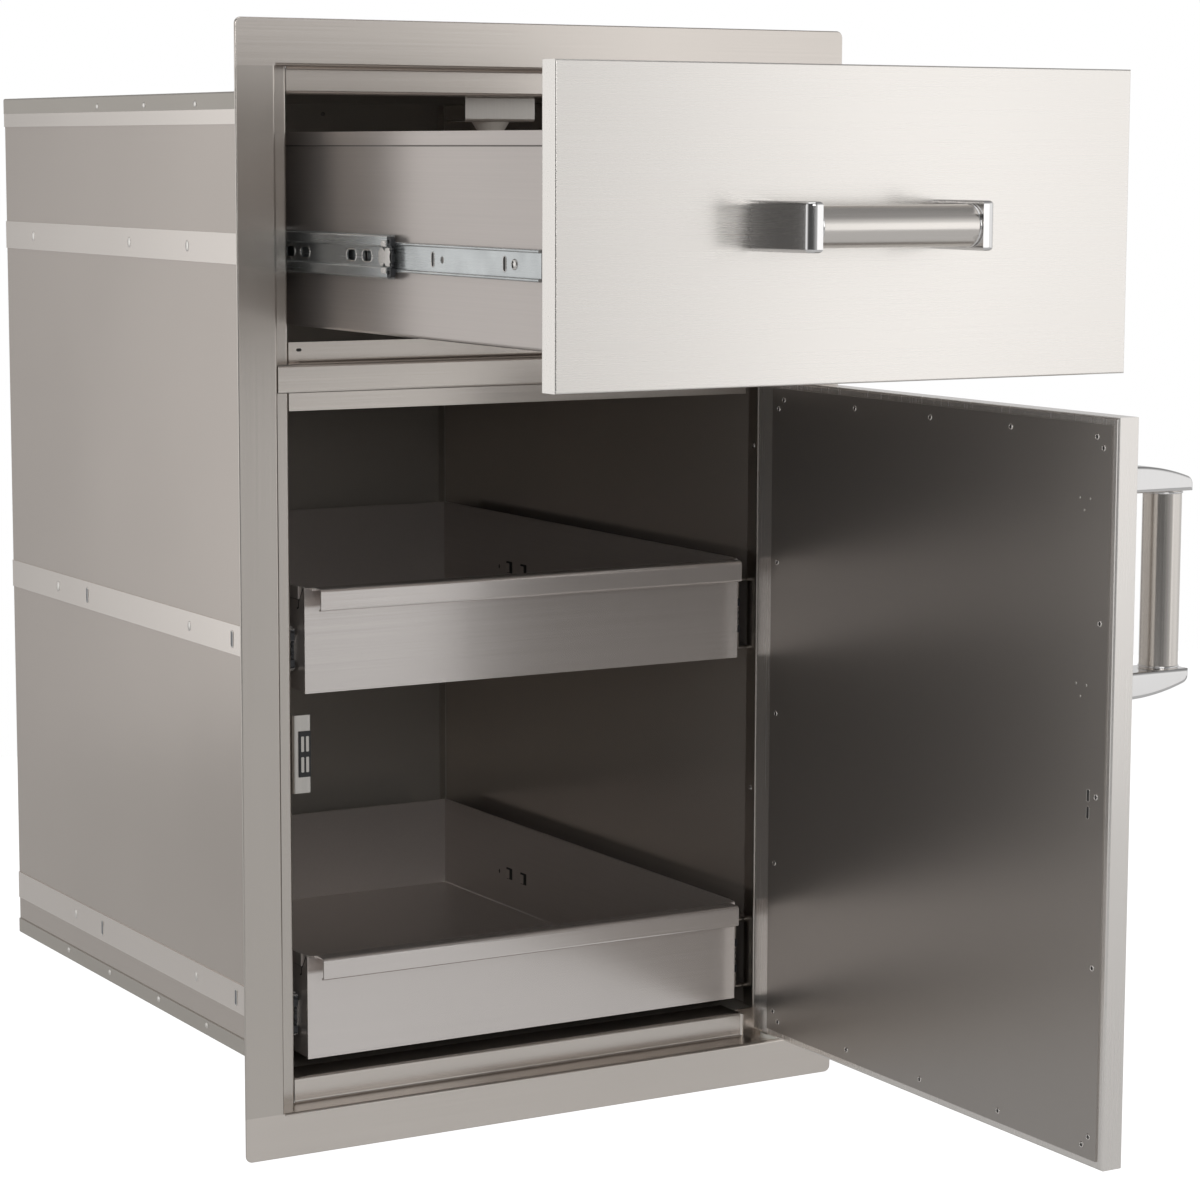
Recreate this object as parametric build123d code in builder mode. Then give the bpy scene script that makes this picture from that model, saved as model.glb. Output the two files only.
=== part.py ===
from build123d import *
import os
from math import hypot

os.makedirs("parts", exist_ok=True)

# Built-in door and drawer unit for an outdoor kitchen, folded from stainless sheet.
# Millimetres. X to the right, Y into the island, Z up. The origin is the middle of the
# frame's bottom edge, on the back face of the frame's flange, which lies on the island.
# The top drawer and the door stand open, the two trays behind the door are pushed in.

# Face frame
frame_width = 496.5
frame_height = 800.0
frame_sheet = 1.5
frame_bend = 0.5
frame_edge_radius = 0.9
frame_corner_radius = 5.0
stile_face = 30.0
head_face = 32.5
sill_face = 32.0
rail_face = 20.0
door_opening_height = 511.5
rail_ledge = 14.0
lip_overlap = 12.0

# Door and drawer front
panel_depth = 18.0
panel_sheet = 1.2
liner_sheet = 1.0
liner_inset = 5.4
liner_hinge_inset = 21.0
panel_hem = 17.0
hinge_hem = 36.0
hem_radius = 1.6
panel_edge_radius = 1.0
reveal = 3.5
seat_gap = 4.0

# Hinge
pivot_inset = 15.0
pivot_depth = 9.5
heel_clearance = 10.0
hinge_pin_radius = 4.0
hinge_pin_stand = 3.5
hinge_pin_length = 42.0
hinge_block_length = 34.0
hinge_block_width = 14.0
bush_radius = 6.0
bush_flange_radius = 8.5
pin_clearance = 0.05
door_lift_gap = 0.3
skin_hole_clearance = 0.5

# Case
case_inset = 15.75
case_depth = 564.0
case_sheet = 1.0
case_bend = 0.6
cap_flange = 12.5
back_flange = 12.0
top_band = 23.0
strip_height = 22.0
strip_thickness = 0.8

# Ball bearing slides, three members each
slide_length = 457.0
slide_depth = 10.0
slide_web = 1.2
slide_bend = 0.8
shoulder_bend = 0.1
slide_mouth = 2.0
middle_height = 29.4
middle_mouth = 1.5
middle_back_gap = 1.2
middle_recess_height = 13.0
inner_height = 20.0
inner_depth = 3.4
inner_bend = 0.4
inner_bead = 1.1
slide_gap = 0.3
web_gap = 0.6
slide_step = 2.0
slide_travel = 381.5
retainer_length = 200.0
retainer_depth = 3.0
retainer_gap = 0.25
slide_rail_depth = 9.0
slide_rail_height = 54.0
slide_rail_sheet = 1.2
slide_rail_bend = 0.8
slide_rail_gap = 2.0
slot_length = 14.0
slot_width = 7.0
slot_pitch = 24.0
slot_margin = 34.0
slot_pairs = 4
screw_hole_radius = 2.4

# Drawer box and trays
box_sheet = 1.2
box_bend = 1.2
box_hem = 9.0
box_hem_setback = 7.0
drawer_box_depth = 512.0
drawer_floor_gap = 24.0
drawer_top_gap = 44.5
drawer_slide_height = 52.8
drawer_slide_setback = 54.0
tray_height = 76.5
tray_depth = 482.0
tray_front_gap = 18.5
tray_slide_height = 31.0
tray_slide_setback = 15.5
tray_lip_depth = 15.0
tray_lip_drop = 16.0
tray_lip_inset = 6.0
tray_lip_curl = 3.5
tray_lip_bend = 1.8
tray_curl_bend = 0.6
mid_tray_floor = 326.0
low_tray_floor = 58.5

# How far each group is drawn out of the case, and the share its middle members follow
drawer_pull = slide_travel
mid_tray_pull = 0.0
low_tray_pull = 0.0
drawer_middle_share = 0.476
tray_middle_share = 0.418

# Bar handles
handle_length = 155.0
handle_standoff = 52.0
handle_bracket_width = 31.0
handle_foot = 18.0
handle_taper = 9.5
handle_tube_diameter = 26.0
handle_tube_wall = 1.5
handle_tube_rim = 1.0
handle_end_radius = 6.0
handle_rim_radius = 2.5
door_handle_inset = 21.0
door_handle_drop = 110.5

# Magnet catch for the door
catch_centre = 286.0
catch_height = 56.0
catch_width = 13.0
catch_sheet = 1.2
catch_bend = 0.6
catch_leg = 22.0
catch_gap = 1.5
magnet_height = 33.0
magnet_width = 9.0
magnet_depth = 13.0
magnet_gap = 0.5
magnet_clearance = 0.1
strike_height = 40.0
strike_width = 9.0
strike_thickness = 1.5

# Hold-down bumper over the drawer
stop_width = 58.0
stop_height = 19.0
stop_leg = 30.0
stop_sheet = 1.2
stop_bend = 0.8
stop_setback = 79.0
bumper_top_radius = 14.0
bumper_bottom_radius = 10.0
bumper_height = 6.5

# Levels and places worked out from the sizes above
half_width = frame_width / 2
opening_half = half_width - stile_face
opening_top = frame_height - head_face
rail_bottom = sill_face + door_opening_height
rail_top = rail_bottom + rail_face
front_face = -frame_sheet
panel_back = front_face + panel_depth
ledge_front = panel_back + seat_gap
ledge_back = ledge_front + frame_sheet
case_half = opening_half - case_inset
case_inner_half = case_half - case_sheet
lip_half = case_inner_half - frame_sheet
case_bottom = sill_face + case_inset
case_top = opening_top - case_inset
case_floor = case_bottom + case_sheet
case_roof = case_top - case_sheet

pivot_x = opening_half - reveal - pivot_inset
pivot_y = front_face + pivot_depth
heel_reach = hypot(pivot_inset, panel_depth - pivot_depth)
hinge_ledge_front = pivot_y + heel_reach + heel_clearance
case_front = hinge_ledge_front + frame_sheet
lip_end = case_front + lip_overlap
heel_notch = pivot_x - heel_reach - reveal
slide_rail_front = lip_end + slide_rail_gap

tray_half = case_inner_half - slide_rail_depth - slide_depth
drawer_floor = rail_top + drawer_floor_gap
drawer_rim = opening_top - drawer_top_gap
drawer_slide_z = drawer_floor + drawer_slide_height
mid_slide_z = mid_tray_floor + tray_slide_height
low_slide_z = low_tray_floor + tray_slide_height
slide_levels = (drawer_slide_z, mid_slide_z, low_slide_z)
drawer_slide_front = panel_back + drawer_slide_setback
tray_face = panel_back + tray_front_gap
tray_slide_front = tray_face + tray_slide_setback

door_bottom = sill_face + reveal
door_top = rail_bottom - reveal
door_height = door_top - door_bottom
door_width = 2 * (opening_half - reveal)
door_outer = pivot_x + pivot_depth
door_inner = door_outer - panel_depth
door_heel = pivot_y + pivot_inset
door_tip = door_heel - door_width
drawer_front_height = opening_top - rail_top - 2 * reveal
drawer_front_z = (opening_top + rail_top) / 2
handle_tube_line = handle_standoff - handle_tube_rim - handle_tube_diameter / 2


def front_plane(y):
    """Plane facing the front at depth y, its x along X and its y along Z."""
    return Plane.XZ.offset(-y)


def side_plane(x):
    """Plane facing right at x, its x along Y and its y along Z."""
    return Plane.YZ.offset(x)


def save(piece, name):
    """Label a finished piece and write it."""
    piece.part.label = name
    export_step(piece.part, f"parts/{name}.step")


def block(x0, x1, y0, y1, z0, z1, mode=Mode.ADD):
    """Straight block between two corners, added to or cut from the open part."""
    with BuildSketch(Plane.XY.offset(min(z0, z1))) as outline:
        with Locations(((x0 + x1) / 2, (y0 + y1) / 2)):
            Rectangle(abs(x1 - x0), abs(y1 - y0))
    extrude(outline.sketch, amount=abs(z1 - z0), mode=mode)


def fold(plane, line, sheet, radius, length):
    """Sheet folded along a line, thick to the left of it, and run along the plane's normal."""
    with BuildSketch(plane) as section:
        with BuildLine():
            FilletPolyline(*line, radius=radius)
            offset(amount=sheet, side=Side.LEFT)
        make_face()
    extrude(section.sketch, amount=length)


def mirrored(piece):
    """The same piece for the other hand."""
    with BuildPart() as other:
        mirror(piece.part, about=Plane.YZ)
    return other


# Face frame: each member is folded from one sheet, then notched where it meets the next. The
# stiles butt between the head and the sill, and the mid rail between the stiles.
frame_radius = frame_sheet + frame_bend


def stile(ledge):
    """Right stile: face, jamb, stop ledge, and the lip that runs back into the case."""
    line = (
        (lip_half, lip_end),
        (lip_half, ledge),
        (opening_half, ledge),
        (opening_half, front_face),
        (half_width, front_face),
    )
    behind = ledge + frame_sheet
    with BuildPart() as piece:
        fold(Plane.XY.offset(sill_face), line, frame_sheet, frame_radius, opening_top - sill_face)
        for low, high in ((sill_face, case_floor), (case_roof, opening_top)):
            block(lip_half, opening_half, behind, lip_end, low, high, mode=Mode.SUBTRACT)
        front_uprights = piece.edges().filter_by(Axis.Z).group_by(Axis.Y)[0]
        fillet(front_uprights.sort_by(Axis.X)[-1], radius=frame_edge_radius)
    return piece


def face_ends(low, high):
    """Ends of the head's or the sill's face, which run out over the stiles."""
    for side in (-1, 1):
        block(side * opening_half, side * half_width, front_face, 0, low, high)


save(mirrored(stile(ledge_front)), "left_stile")
save(stile(hinge_ledge_front), "right_stile")

with BuildPart() as head_rail:
    lip_level = case_roof - frame_sheet
    line = (
        (front_face, frame_height),
        (front_face, opening_top),
        (ledge_front, opening_top),
        (ledge_front, lip_level),
        (lip_end, lip_level),
    )
    fold(side_plane(-opening_half), line, frame_sheet, frame_radius, 2 * opening_half)
    face_ends(opening_top, frame_height)
    for side in (-1, 1):
        notch = (side * lip_half, side * opening_half)
        block(*notch, front_face, lip_end, lip_level, opening_top, mode=Mode.SUBTRACT)
    fillet(head_rail.edges().filter_by(Axis.Y).group_by(Axis.Z)[-1], radius=frame_corner_radius)
    front_edges = head_rail.edges().filter_by(Axis.X).group_by(Axis.Y)[0]
    fillet(front_edges.group_by(Axis.Z)[-1], radius=frame_edge_radius)
save(head_rail, "head_rail")

with BuildPart() as sill_rail:
    lip_level = case_floor + frame_sheet
    line = (
        (lip_end, lip_level),
        (ledge_front, lip_level),
        (ledge_front, sill_face),
        (front_face, sill_face),
        (front_face, 0),
    )
    fold(side_plane(-opening_half), line, frame_sheet, frame_radius, 2 * opening_half)
    face_ends(0, sill_face)
    for notch in ((-opening_half, -lip_half), (heel_notch, opening_half)):
        block(*notch, front_face, lip_end, sill_face, lip_level, mode=Mode.SUBTRACT)
    with Locations((pivot_x, pivot_y, sill_face)):
        Hole(radius=bush_radius + pin_clearance, depth=frame_sheet)
    fillet(sill_rail.edges().filter_by(Axis.Y).group_by(Axis.Z)[0], radius=frame_corner_radius)
    front_edges = sill_rail.edges().filter_by(Axis.X).group_by(Axis.Y)[0]
    fillet(front_edges.group_by(Axis.Z)[0], radius=frame_edge_radius)
save(sill_rail, "sill_rail")

with BuildPart() as mid_rail:
    ledge_top = rail_top + rail_ledge
    ledge_bottom = rail_bottom - rail_ledge
    line = (
        (ledge_front, ledge_top),
        (ledge_front, rail_top),
        (front_face, rail_top),
        (front_face, rail_bottom),
        (ledge_front, rail_bottom),
        (ledge_front, ledge_bottom),
    )
    fold(side_plane(-opening_half), line, frame_sheet, frame_radius, 2 * opening_half)
    bend_start = ledge_front - frame_radius
    for side in (-1, 1):
        corner = (side * (opening_half - frame_radius), side * opening_half)
        block(*corner, bend_start, ledge_front, rail_bottom, rail_top, mode=Mode.SUBTRACT)
        notch = (side * lip_half, side * opening_half)
        block(*notch, ledge_front, ledge_back, ledge_bottom, ledge_top, mode=Mode.SUBTRACT)
        block(*notch, front_face, ledge_front, rail_top, ledge_top, mode=Mode.SUBTRACT)
        block(*notch, front_face, ledge_front, ledge_bottom, rail_bottom, mode=Mode.SUBTRACT)
    block(heel_notch, lip_half, front_face, ledge_back, ledge_bottom, rail_bottom, mode=Mode.SUBTRACT)
    with Locations((pivot_x, pivot_y, rail_bottom + frame_sheet)):
        Hole(radius=bush_radius + pin_clearance, depth=frame_sheet)
save(mid_rail, "mid_rail")


# Case: two sides, a back pan between them, and caps whose flanges lap over the sides
def case_cap(side, outside, flange_end):
    """Top or bottom sheet of the case, its flanges folded over the outside of the sides."""
    reach = side * (case_half + case_sheet)
    line = ((reach, flange_end), (reach, outside), (-reach, outside), (-reach, flange_end))
    with BuildPart() as piece:
        fold(front_plane(case_depth), line, case_sheet, case_sheet + case_bend, case_depth - case_front)
    return piece


with BuildPart() as right_case_side:
    low = case_floor + case_bend
    high = case_roof - case_bend
    block(case_inner_half, case_half, case_front + frame_bend, case_depth, low, high)
save(right_case_side, "right_case_side")
save(mirrored(right_case_side), "left_case_side")
save(case_cap(1, case_top, case_top - cap_flange), "case_top_cap")
save(case_cap(-1, case_bottom, case_bottom + cap_flange), "case_bottom_cap")

with BuildPart() as case_back:
    flange_front = case_depth - back_flange
    block(-case_inner_half, case_inner_half, flange_front, case_depth, case_floor, case_roof)
    offset(amount=-case_sheet, openings=case_back.faces().sort_by(Axis.Y)[0])
save(case_back, "case_back")

with BuildPart() as right_backing_strips:
    outside = case_half + strip_thickness
    for level in slide_levels:
        low = level - strip_height / 2
        block(case_half, outside, case_front, case_depth, low, low + strip_height)
    block(case_half, outside, case_front, case_depth, case_top - top_band, case_top - cap_flange)
save(right_backing_strips, "right_backing_strips")
save(mirrored(right_backing_strips), "left_backing_strips")

with BuildPart() as right_slide_rails:
    bed = case_inner_half - slide_rail_depth
    rear_plane = front_plane(slide_rail_front + slide_length)
    for level in slide_levels:
        low = level - slide_rail_height / 2
        high = level + slide_rail_height / 2
        line = ((case_inner_half, high), (bed, high), (bed, low), (case_inner_half, low))
        fold(rear_plane, line, slide_rail_sheet, slide_rail_sheet + slide_rail_bend, slide_length)
save(right_slide_rails, "right_slide_rails")
save(mirrored(right_slide_rails), "left_slide_rails")


# Slides: three rolled members, each drawn for the right hand and mirrored for the left
def slide_places(level, *places):
    """Points from distances out from the drawer's side and heights over the slide's middle."""
    return [(tray_half + reach, level + height) for reach, height in places]


def slide_outer(level, y):
    """Fixed member: a channel open towards the drawer."""
    edge = middle_height / 2 + slide_gap + slide_web
    line = slide_places(
        level,
        (slide_mouth, -edge),
        (slide_depth, -edge),
        (slide_depth, edge),
        (slide_mouth, edge),
    )
    with BuildPart() as piece:
        fold(front_plane(y + slide_length), line, slide_web, slide_web + slide_bend, slide_length)
    return piece


def slide_middle(level, y):
    """Middle member: two ball races joined by a recessed, slotted web, rolled from one strip."""
    back = slide_depth - slide_web - middle_back_gap
    web_face = inner_depth + web_gap
    web_back = web_face + slide_web
    edge = middle_height / 2
    recess = middle_recess_height / 2
    line = slide_places(
        level,
        (middle_mouth, -edge),
        (back, -edge),
        (back, -recess),
        (web_back, -recess),
        (web_back, recess),
        (back, recess),
        (back, edge),
        (middle_mouth, edge),
    )
    race = slide_web + slide_bend
    shoulder = slide_web + shoulder_bend
    root = (back - web_back - shoulder) / 2
    radii = (race, shoulder, root, root, shoulder, race)
    step = (slide_length - 2 * slot_margin) / slot_pairs
    with BuildPart() as piece:
        fold(front_plane(y + slide_length), line, slide_web, radii, slide_length)
        with BuildSketch(side_plane(tray_half + web_face)):
            for pair in range(slot_pairs):
                near = y + slot_margin + pair * step
                with Locations((near, level), (near + slot_pitch, level)):
                    SlotOverall(slot_length, slot_width)
        extrude(amount=slide_web, mode=Mode.SUBTRACT)
    return piece


def slide_inner(level, y):
    """Drawer member: a narrow channel with beaded edges, screwed to the drawer's side."""
    edge = inner_height / 2
    reach = inner_depth - inner_bead
    line = slide_places(level, (reach, edge), (0, edge), (0, -edge), (reach, -edge))
    rear_plane = front_plane(y + slide_length)
    step = (slide_length - 2 * slot_margin) / slot_pairs
    with BuildPart() as piece:
        fold(rear_plane, line, slide_web, slide_web + inner_bend, slide_length)
        with BuildSketch(rear_plane):
            with Locations(*slide_places(level, (reach, edge - inner_bead), (reach, inner_bead - edge))):
                Circle(inner_bead)
        extrude(amount=slide_length)
        with BuildSketch(side_plane(tray_half)):
            for place in range(slot_pairs + 1):
                with Locations((y + slot_margin + place * step, level)):
                    Circle(screw_hole_radius)
        extrude(amount=slide_web, mode=Mode.SUBTRACT)
    return piece


def ball_retainers(level, y):
    """Ball cages in the races of both middle members of one pair of slides."""
    near = tray_half + middle_mouth + retainer_gap
    far = near + retainer_depth
    low = inner_height / 2 + retainer_gap
    high = middle_height / 2 - slide_web
    with BuildPart() as pieces:
        for side in (-1, 1):
            for race in (-1, 1):
                heights = (level + race * low, level + race * high)
                block(side * near, side * far, y, y + retainer_length, *heights)
    return pieces


groups = (
    ("top", drawer_slide_z, drawer_slide_front, drawer_pull, drawer_middle_share),
    ("mid", mid_slide_z, tray_slide_front, mid_tray_pull, tray_middle_share),
    ("low", low_slide_z, tray_slide_front, low_tray_pull, tray_middle_share),
)
for group, level, front, pull, share in groups:
    middle_front = front - slide_step - share * pull
    members = {
        "outer": slide_outer(level, max(front - 2 * slide_step, slide_rail_front)),
        "middle": slide_middle(level, middle_front),
        "inner": slide_inner(level, front - pull),
    }
    for name, member in members.items():
        save(member, f"{group}_right_slide_{name}")
        save(mirrored(member), f"{group}_left_slide_{name}")
    save(ball_retainers(level, middle_front), f"{group}_ball_retainers")


# Drawer box and tray pans: sheet boxes with hemmed rims
def open_box(y0, y1, z0, z1, front_open):
    """Sheet box open at the top, and for a tray at the front, its rims hemmed on the outside."""
    hem = tray_half + box_sheet
    with BuildPart() as piece:
        block(-tray_half, tray_half, y0, y1, z0, z1)
        fillet(piece.edges().filter_by(Axis.Y).group_by(Axis.Z)[0], radius=box_sheet + box_bend)
        mouths = [piece.faces().sort_by(Axis.Z)[-1]]
        if front_open:
            mouths.append(piece.faces().sort_by(Axis.Y)[0])
        offset(amount=-box_sheet, openings=mouths)
        for side in (-1, 1):
            block(side * tray_half, side * hem, y0 + box_hem_setback, y1, z1 - box_hem, z1)
        block(-tray_half, tray_half, y1, y1 + box_sheet, z1 - box_hem, z1)
    return piece


def tray_front(face, floor):
    """Front sheet of a tray: up from the floor, then forward and down to a lip with a curled edge."""
    back = face + box_sheet
    nose = face - tray_lip_depth
    rim = floor + tray_height
    drop = rim - tray_lip_drop
    line = ((back, floor), (back, rim), (nose, rim), (nose, drop), (nose + tray_lip_curl, drop))
    bend = box_sheet + tray_lip_bend
    radii = (bend, bend, box_sheet + tray_curl_bend)
    lip_reach = tray_half - tray_lip_inset
    with BuildPart() as piece:
        fold(side_plane(-tray_half), line, box_sheet, radii, 2 * tray_half)
        for side in (-1, 1):
            block(side * lip_reach, side * tray_half, nose, face, drop, rim, mode=Mode.SUBTRACT)
    return piece


trays = (("mid_tray", mid_tray_floor, mid_tray_pull), ("low_tray", low_tray_floor, low_tray_pull))
for name, floor, pull in trays:
    face = tray_face - pull
    save(open_box(face + box_sheet, face + tray_depth, floor, floor + tray_height, True), f"{name}_pan")
    save(tray_front(face, floor), f"{name}_front")

drawer_box_front = panel_back - drawer_pull
drawer_box_back = drawer_box_front + drawer_box_depth
save(open_box(drawer_box_front, drawer_box_back, drawer_floor, drawer_rim, False), "drawer_box")


# Door and drawer front: a folded skin with hemmed returns, closed by a liner riveted on the hems
def front_skin(plane, width, height, last_hem):
    """Outer skin of a front, built outwards from its hems. The last hem is at the far end of x."""
    seat = plane.offset(liner_sheet)
    depth = panel_depth - liner_sheet
    outwards = Axis(plane.origin, plane.z_dir)
    clear_width = width - 2 * panel_sheet
    clear_height = height - 2 * panel_sheet
    with BuildPart() as piece:
        with BuildSketch(seat):
            Rectangle(width, height)
        extrude(amount=depth)
        fillet(piece.faces().sort_by(outwards)[-1].edges(), radius=panel_edge_radius)
        fillet(piece.faces().sort_by(outwards)[0].edges(), radius=hem_radius)
        with BuildSketch(seat.offset(panel_sheet)):
            Rectangle(clear_width, clear_height)
        extrude(amount=depth - 2 * panel_sheet, mode=Mode.SUBTRACT)
        with BuildSketch(seat):
            with Locations(((panel_hem - last_hem) / 2, 0)):
                Rectangle(clear_width - panel_hem - last_hem, clear_height - 2 * panel_hem)
        extrude(amount=panel_sheet, mode=Mode.SUBTRACT)
    return piece


def front_liner(plane, width, height, last_inset):
    """Sheet over the hems. The last inset is at the far end of x."""
    with BuildPart() as piece:
        with BuildSketch(plane):
            with Locations(((liner_inset - last_inset) / 2, 0)):
                Rectangle(width - liner_inset - last_inset, height - 2 * liner_inset)
        extrude(amount=liner_sheet)
    return piece


drawer_front_y = panel_back - drawer_pull
drawer_plane = Plane(origin=(0, drawer_front_y, drawer_front_z), x_dir=(1, 0, 0), z_dir=(0, -1, 0))
save(front_skin(drawer_plane, door_width, drawer_front_height, panel_hem), "drawer_front_skin")
save(front_liner(drawer_plane, door_width, drawer_front_height, liner_inset), "drawer_front_liner")

door_origin = (door_inner, (door_heel + door_tip) / 2, (door_bottom + door_top) / 2)
door_plane = Plane(origin=door_origin, x_dir=(0, 1, 0), z_dir=(1, 0, 0))
with BuildPart() as door_skin:
    add(front_skin(door_plane, door_width, door_height, hinge_hem).part)
    for level in (door_top, door_bottom + panel_sheet):
        with Locations((pivot_x, pivot_y, level)):
            Hole(radius=hinge_pin_radius + skin_hole_clearance, depth=panel_sheet)
save(door_skin, "door_skin")
save(front_liner(door_plane, door_width, door_height, liner_hinge_inset), "door_liner")


# Bar handles: two tapering end brackets with a tube between them
def handle_bracket(plane):
    """End bracket. The plane's x runs along the bar to its middle, its y out from the panel."""
    along = Axis(plane.origin, plane.x_dir)
    outwards = Axis(plane.origin, plane.y_dir)
    across = Axis(plane.origin, plane.z_dir)
    with BuildPart() as piece:
        with BuildSketch(plane):
            with BuildLine():
                Line((0, 0), (handle_foot, 0))
                Line((handle_foot, 0), (handle_foot, handle_standoff))
                Line((handle_foot, handle_standoff), (handle_taper, handle_standoff))
                TangentArc((0, 0), (handle_taper, handle_standoff), tangent=(0, 1))
            make_face()
        extrude(amount=handle_bracket_width / 2, both=True)
        corners = piece.edges().filter_by(across).sort_by(outwards)[-2:]
        fillet(corners.sort_by(along)[0], radius=handle_end_radius)
        cheeks = piece.faces().sort_by(across)
        rims = cheeks[0].edges() + cheeks[-1].edges()
        fillet(rims.sort_by(outwards)[2:], radius=handle_rim_radius)
    return piece


def handle_tube(plane):
    """Tube between the brackets, run along the plane's normal."""
    with BuildPart() as piece:
        with BuildSketch(plane):
            Circle(handle_tube_diameter / 2)
            Circle(handle_tube_diameter / 2 - handle_tube_wall, mode=Mode.SUBTRACT)
        extrude(amount=handle_length - 2 * handle_foot)
    return piece


handle_half = handle_length / 2
tube_half = handle_half - handle_foot
bar_y = drawer_front_y - panel_depth
left_plane = Plane(origin=(-handle_half, bar_y, drawer_front_z), x_dir=(1, 0, 0), z_dir=(0, 0, -1))
right_plane = Plane(origin=(handle_half, bar_y, drawer_front_z), x_dir=(-1, 0, 0), z_dir=(0, 0, 1))
save(handle_bracket(left_plane), "drawer_handle_left_bracket")
save(handle_bracket(right_plane), "drawer_handle_right_bracket")
tube_origin = (-tube_half, bar_y - handle_tube_line, drawer_front_z)
save(handle_tube(Plane(origin=tube_origin, z_dir=(1, 0, 0))), "drawer_handle_tube")

pull_y = door_tip + door_handle_inset
pull_z = door_top - door_handle_drop
upper_plane = Plane(origin=(door_outer, pull_y, pull_z + handle_half), x_dir=(0, 0, -1), z_dir=(0, -1, 0))
lower_plane = Plane(origin=(door_outer, pull_y, pull_z - handle_half), x_dir=(0, 0, 1), z_dir=(0, 1, 0))
save(handle_bracket(upper_plane), "door_handle_upper_bracket")
save(handle_bracket(lower_plane), "door_handle_lower_bracket")
tube_origin = (door_outer + handle_tube_line, pull_y, pull_z - tube_half)
save(handle_tube(Plane(origin=tube_origin, z_dir=(0, 0, 1))), "door_handle_tube")

# Hinge: a fixed stud below, a spring pin above that drops to let the door out
block_inner = door_inner + liner_sheet + panel_sheet
block_outer = door_outer - panel_sheet
block_rear = pivot_y + hinge_block_width / 2
block_front = pivot_y - hinge_block_width / 2
with BuildPart() as upper_pivot_block:
    high = door_top - panel_sheet
    block(block_inner, block_outer, block_front, block_rear, high - hinge_block_length, high)
    with Locations((pivot_x, pivot_y, high)):
        Hole(radius=hinge_pin_radius + pin_clearance, depth=hinge_block_length)
save(upper_pivot_block, "upper_pivot_block")

with BuildPart() as lower_pivot:
    low = door_bottom + panel_sheet
    stud_end = sill_face - frame_sheet
    block(block_inner, block_outer, block_front, block_rear, low, low + hinge_block_length)
    with BuildSketch(Plane.XY.offset(stud_end)):
        with Locations((pivot_x, pivot_y)):
            Circle(hinge_pin_radius)
    extrude(amount=low - stud_end)
save(lower_pivot, "lower_pivot")

with BuildPart() as upper_hinge_pin:
    pin_top = rail_bottom + hinge_pin_stand
    with BuildSketch(Plane.XY.offset(pin_top)):
        with Locations((pivot_x, pivot_y)):
            Circle(hinge_pin_radius)
    extrude(amount=-hinge_pin_length)
    chamfer(upper_hinge_pin.edges().group_by(Axis.Z)[-1], length=hinge_pin_radius / 4)
save(upper_hinge_pin, "upper_hinge_pin")

with BuildPart() as hinge_bushes:
    seats = (
        (sill_face, sill_face - frame_sheet, door_bottom - door_lift_gap),
        (rail_bottom, rail_bottom + frame_sheet, door_top + door_lift_gap),
    )
    for seat, sleeve_end, flange_end in seats:
        with BuildSketch(Plane.XY.offset(seat)):
            with Locations((pivot_x, pivot_y)):
                Circle(bush_radius)
                Circle(hinge_pin_radius + pin_clearance, mode=Mode.SUBTRACT)
        extrude(amount=sleeve_end - seat)
        with BuildSketch(Plane.XY.offset(seat)):
            with Locations((pivot_x, pivot_y)):
                Circle(bush_flange_radius)
                Circle(hinge_pin_radius + pin_clearance, mode=Mode.SUBTRACT)
        extrude(amount=flange_end - seat)
save(hinge_bushes, "hinge_bushes")

# Magnet catch on the left lip, and its strike behind the door's liner
catch_low = catch_centre - catch_height / 2
catch_y = panel_back + catch_gap
catch_edge = -lip_half + catch_width
magnet_edge = catch_edge - magnet_width
with BuildPart() as catch_bracket:
    line = ((-lip_half, catch_y + catch_leg), (-lip_half, catch_y), (catch_edge, catch_y))
    fold(Plane.XY.offset(catch_low), line, catch_sheet, catch_sheet + catch_bend, catch_height)
    low = catch_centre - magnet_height / 2
    high = catch_centre + magnet_height / 2
    block(magnet_edge, catch_edge, catch_y, catch_y + catch_sheet, low, high, mode=Mode.SUBTRACT)
save(catch_bracket, "catch_bracket")

with BuildPart() as catch_magnet:
    face = panel_back + magnet_gap
    low = low + magnet_clearance
    high = high - magnet_clearance
    block(magnet_edge + magnet_clearance, catch_edge, face, face + magnet_depth, low, high)
save(catch_magnet, "catch_magnet")

with BuildPart() as door_strike:
    strike_inner = door_inner + liner_sheet
    strike_y = door_tip + (opening_half - reveal) + (magnet_edge + catch_edge) / 2
    low = catch_centre - strike_height / 2
    high = catch_centre + strike_height / 2
    near = strike_y - strike_width / 2
    block(strike_inner, strike_inner + strike_thickness, near, near + strike_width, low, high)
save(door_strike, "door_strike")

# Hold-down bumper under the top of the case, just clear of the drawer's rim
stop_low = case_roof - stop_height
stop_rear = stop_setback + stop_leg
with BuildPart() as stop_bracket:
    line = (
        (stop_rear, case_roof),
        (stop_setback, case_roof),
        (stop_setback, stop_low),
        (stop_rear, stop_low),
    )
    fold(side_plane(-stop_width / 2), line, stop_sheet, stop_sheet + stop_bend, stop_width)
save(stop_bracket, "stop_bracket")

with BuildPart() as stop_bumper:
    with BuildSketch(Plane.XY.offset(stop_low)):
        with Locations((0, (stop_setback + stop_rear) / 2)):
            Circle(bumper_top_radius)
    with BuildSketch(Plane.XY.offset(stop_low - bumper_height)):
        with Locations((0, (stop_setback + stop_rear) / 2)):
            Circle(bumper_bottom_radius)
    loft()
save(stop_bumper, "stop_bumper")
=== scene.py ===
import math

import bmesh
import bpy
from mathutils import Matrix, Vector


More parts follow.
